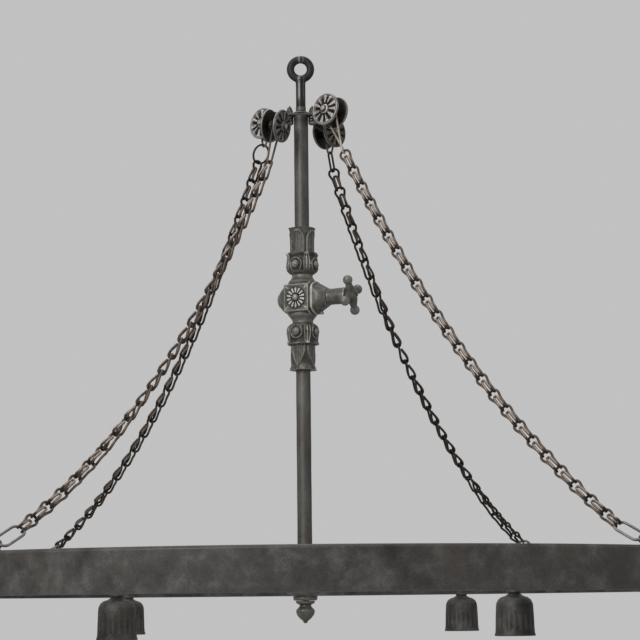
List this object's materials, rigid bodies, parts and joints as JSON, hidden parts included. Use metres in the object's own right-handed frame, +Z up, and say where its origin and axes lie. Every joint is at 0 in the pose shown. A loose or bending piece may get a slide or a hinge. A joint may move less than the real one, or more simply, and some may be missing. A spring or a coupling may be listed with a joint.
{
  "type": "hoop chandelier",
  "caption": "Iron hoop chandelier hung by chains from pulleys on a gas-pipe stem with an ornamental cock and cross handle.",
  "frame": {"origin": "where the hanging eye bears on its hook: the top of the eye's hole, on the stem's axis", "axes": "+Z up along the stem, +X to the right and +Y away as seen from the front, which the pulleys' rosettes and the handle face"},
  "size_m": [0.96, 0.96, 0.6942],
  "materials": {
    "pipe_iron": "dark drawn gas pipe, worn and lightly rusted",
    "black_iron": "blackened wrought iron, mottled with old rust",
    "cast_iron": "dark grey-brown casting with worn bright edges",
    "aged_brass": "brass gone dark brown",
    "bright_wire": "worn steel wire",
    "rusted_wire": "rust-brown steel wire"
  },
  "bodies": {
    "frame": {"acorn_nut_left": "aged_brass", "acorn_nut_right": "aged_brass", "chain_front_left": "rusted_wire", "chain_front_right": "rusted_wire", "chain_rear_left": "rusted_wire", "chain_rear_right": "rusted_wire", "chain_ring_rear_left": "rusted_wire", "cock_body": "cast_iron", "ear_bolt_left": "black_iron", "ear_bolt_right": "black_iron", "end_link_front_left": "bright_wire", "end_link_front_right": "bright_wire", "end_link_rear_left": "bright_wire", "end_link_rear_right": "bright_wire", "finial": "cast_iron", "gland_nut": "cast_iron", "hanger_front_left": "aged_brass", "hanger_front_right": "aged_brass", "hanger_rear_left": "aged_brass", "hanger_rear_right": "aged_brass", "hanging_eye": "black_iron", "hoop": "black_iron", "hoop_eye_front_left": "bright_wire", "hoop_eye_front_right": "bright_wire", "hoop_eye_rear_left": "bright_wire", "hoop_eye_rear_right": "bright_wire", "hub": "cast_iron", "lampholder_front_left": "black_iron", "lampholder_front_right": "black_iron", "lampholder_rear_left": "black_iron", "lampholder_rear_right": "black_iron", "long_link_rear_right": "rusted_wire", "lower_stem": "pipe_iron", "pulley_plate": "black_iron", "stay_front_left": "black_iron", "stay_front_right": "black_iron", "stay_rear_left": "black_iron", "stay_rear_right": "black_iron", "stop_pin": "cast_iron", "top_bush": "pipe_iron", "upper_stem": "pipe_iron", "wire_loop_front_left": "rusted_wire", "wire_loop_front_right": "rusted_wire", "wire_loop_rear_left": "rusted_wire", "wire_loop_rear_right": "rusted_wire"},
    "cock_handle": {"cock_plug": "aged_brass", "cross_handle": "cast_iron", "handle_pin": "bright_wire"},
    "pulley_front_right": {"rosette_front_right": "cast_iron", "back_disc_front_right": "cast_iron", "axle_front_right": "aged_brass"},
    "pulley_front_left": {"rosette_front_left": "cast_iron", "back_disc_front_left": "cast_iron", "axle_front_left": "aged_brass"},
    "pulley_rear_left": {"rosette_rear_left": "cast_iron", "back_disc_rear_left": "cast_iron", "axle_rear_left": "aged_brass"},
    "pulley_rear_right": {"rosette_rear_right": "cast_iron", "back_disc_rear_right": "cast_iron", "axle_rear_right": "aged_brass"}
  },
  "joints": [
    {"name": "cock_turn", "type": "hinge", "parent": "frame", "child": "cock_handle", "pos_m": [0, 0, -0.289], "axis": [-0.8829, 0.4695, 0], "range_deg": [0, 90]},
    {"name": "pulley_spin_front_right", "type": "hinge", "parent": "frame", "child": "pulley_front_right", "pos_m": [0.03493, -0.03145, -0.0673], "axis": [-0.6655, -0.7391, 0.1045], "continuous": true},
    {"name": "pulley_spin_front_left", "type": "hinge", "parent": "frame", "child": "pulley_front_left", "pos_m": [-0.03065, -0.03404, -0.0854], "axis": [0.8744, -0.4649, -0.1392], "continuous": true},
    {"name": "pulley_spin_rear_left", "type": "hinge", "parent": "frame", "child": "pulley_rear_left", "pos_m": [-0.04117, 0.03707, -0.0676], "axis": [-0.6655, -0.7391, 0.1045], "continuous": true},
    {"name": "pulley_spin_rear_right", "type": "hinge", "parent": "frame", "child": "pulley_rear_right", "pos_m": [0.03446, 0.03827, -0.0771], "axis": [0.7431, -0.6691, 0], "continuous": true}
  ]
}
